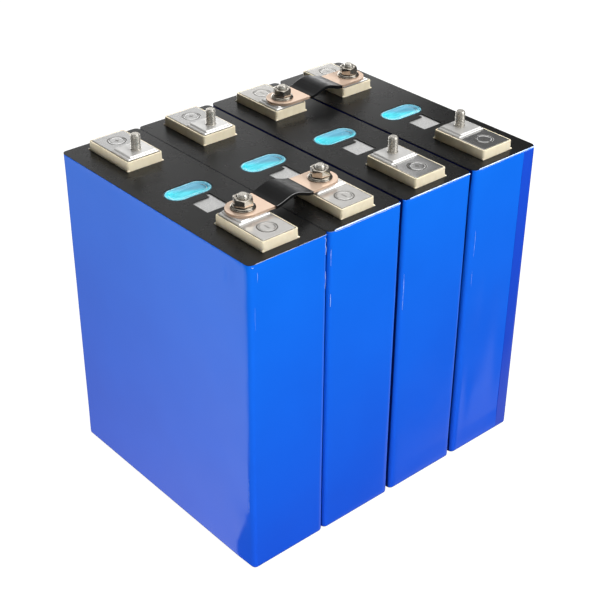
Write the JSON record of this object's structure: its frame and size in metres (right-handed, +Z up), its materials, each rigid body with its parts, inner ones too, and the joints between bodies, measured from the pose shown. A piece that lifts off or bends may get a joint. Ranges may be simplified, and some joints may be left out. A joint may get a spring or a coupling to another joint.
{
  "type": "prismatic battery cell block",
  "caption": "Row of film-wrapped prismatic battery cells with stud terminals, vents and laminated copper links under captive-washer nuts.",
  "frame": {"origin": "centre of the block's underside: the middle of the bounding box in X and Y, at its lowest Z", "axes": "+X along the row of cells, +Y across the cells from the front link's end to the rear link's end, +Z up along the studs"},
  "size_m": [0.22, 0.1738, 0.2218],
  "materials": {
    "blue_film": "shrunk blue film, glossy",
    "case_aluminium": "bare drawn aluminium",
    "black_sheet": "satin black insulating sheet",
    "vent_film": "thin cyan protective film",
    "cream_plastic": "moulded cream plastic",
    "terminal_aluminium": "satin rolled aluminium",
    "electrode_foil": "wound coated foil, dull",
    "stud_steel": "bright pad and rolled thread",
    "nut_steel": "bright plated steel",
    "copper": "bright laminated copper",
    "black_sleeve": "black heat-shrink"
  },
  "bodies": {
    "block": {"cell_1_jacket": "blue_film", "cell_1_can": "case_aluminium", "cell_1_lid": "case_aluminium", "cell_1_top_sheet": "black_sheet", "cell_1_vent_film": "vent_film", "cell_1_electrode_core": "electrode_foil", "cell_1_front_insulator": "cream_plastic", "cell_1_front_terminal": "terminal_aluminium", "cell_1_front_stud_pad": "stud_steel", "cell_1_rear_insulator": "cream_plastic", "cell_1_rear_terminal": "terminal_aluminium", "cell_1_rear_stud_pad": "stud_steel", "cell_2_jacket": "blue_film", "cell_2_can": "case_aluminium", "cell_2_lid": "case_aluminium", "cell_2_top_sheet": "black_sheet", "cell_2_vent_film": "vent_film", "cell_2_electrode_core": "electrode_foil", "cell_2_front_insulator": "cream_plastic", "cell_2_front_terminal": "terminal_aluminium", "cell_2_front_stud_pad": "stud_steel", "cell_2_rear_insulator": "cream_plastic", "cell_2_rear_terminal": "terminal_aluminium", "cell_2_rear_stud_pad": "stud_steel", "cell_3_jacket": "blue_film", "cell_3_can": "case_aluminium", "cell_3_lid": "case_aluminium", "cell_3_top_sheet": "black_sheet", "cell_3_vent_film": "vent_film", "cell_3_electrode_core": "electrode_foil", "cell_3_front_insulator": "cream_plastic", "cell_3_front_terminal": "terminal_aluminium", "cell_3_front_stud_pad": "stud_steel", "cell_3_rear_insulator": "cream_plastic", "cell_3_rear_terminal": "terminal_aluminium", "cell_3_rear_stud_pad": "stud_steel", "cell_4_jacket": "blue_film", "cell_4_can": "case_aluminium", "cell_4_lid": "case_aluminium", "cell_4_top_sheet": "black_sheet", "cell_4_vent_film": "vent_film", "cell_4_electrode_core": "electrode_foil", "cell_4_front_insulator": "cream_plastic", "cell_4_front_terminal": "terminal_aluminium", "cell_4_front_stud_pad": "stud_steel", "cell_4_rear_insulator": "cream_plastic", "cell_4_rear_terminal": "terminal_aluminium", "cell_4_rear_stud_pad": "stud_steel", "front_busbar": "copper", "front_busbar_sleeve": "black_sleeve", "rear_busbar": "copper", "rear_busbar_sleeve": "black_sleeve"},
    "washer_1_front": {"cell_1_front_washer": "nut_steel"},
    "nut_1_front": {"cell_1_front_nut": "nut_steel"},
    "washer_2_front": {"cell_2_front_washer": "nut_steel"},
    "nut_2_front": {"cell_2_front_nut": "nut_steel"},
    "washer_3_rear": {"cell_3_rear_washer": "nut_steel"},
    "nut_3_rear": {"cell_3_rear_nut": "nut_steel"},
    "washer_4_rear": {"cell_4_rear_washer": "nut_steel"},
    "nut_4_rear": {"cell_4_rear_nut": "nut_steel"}
  },
  "joints": [
    {"name": "nut_1_front_lift", "type": "slide", "parent": "block", "child": "washer_1_front", "axis": [0, 0, 1], "range_m": [0, 0.00805]},
    {"name": "nut_1_front_spin", "type": "hinge", "parent": "washer_1_front", "child": "nut_1_front", "pos_m": [-0.08305, -0.049, 0.2155], "axis": [0, 0, 1], "range_deg": [0, 2900]},
    {"name": "nut_2_front_lift", "type": "slide", "parent": "block", "child": "washer_2_front", "axis": [0, 0, 1], "range_m": [0, 0.00805]},
    {"name": "nut_2_front_spin", "type": "hinge", "parent": "washer_2_front", "child": "nut_2_front", "pos_m": [-0.02875, -0.049, 0.2155], "axis": [0, 0, 1], "range_deg": [0, 2900]},
    {"name": "nut_3_rear_lift", "type": "slide", "parent": "block", "child": "washer_3_rear", "axis": [0, 0, 1], "range_m": [0, 0.00805]},
    {"name": "nut_3_rear_spin", "type": "hinge", "parent": "washer_3_rear", "child": "nut_3_rear", "pos_m": [0.02715, 0.049, 0.2155], "axis": [0, 0, 1], "range_deg": [0, 2900]},
    {"name": "nut_4_rear_lift", "type": "slide", "parent": "block", "child": "washer_4_rear", "axis": [0, 0, 1], "range_m": [0, 0.00805]},
    {"name": "nut_4_rear_spin", "type": "hinge", "parent": "washer_4_rear", "child": "nut_4_rear", "pos_m": [0.08305, 0.049, 0.2155], "axis": [0, 0, 1], "range_deg": [0, 2900]}
  ],
  "couplings": [
    {"joint": "nut_1_front_spin", "follows": "nut_1_front_lift", "rad_per_m": 6283.2},
    {"joint": "nut_2_front_spin", "follows": "nut_2_front_lift", "rad_per_m": 6283.2},
    {"joint": "nut_3_rear_spin", "follows": "nut_3_rear_lift", "rad_per_m": 6283.2},
    {"joint": "nut_4_rear_spin", "follows": "nut_4_rear_lift", "rad_per_m": 6283.2}
  ]
}
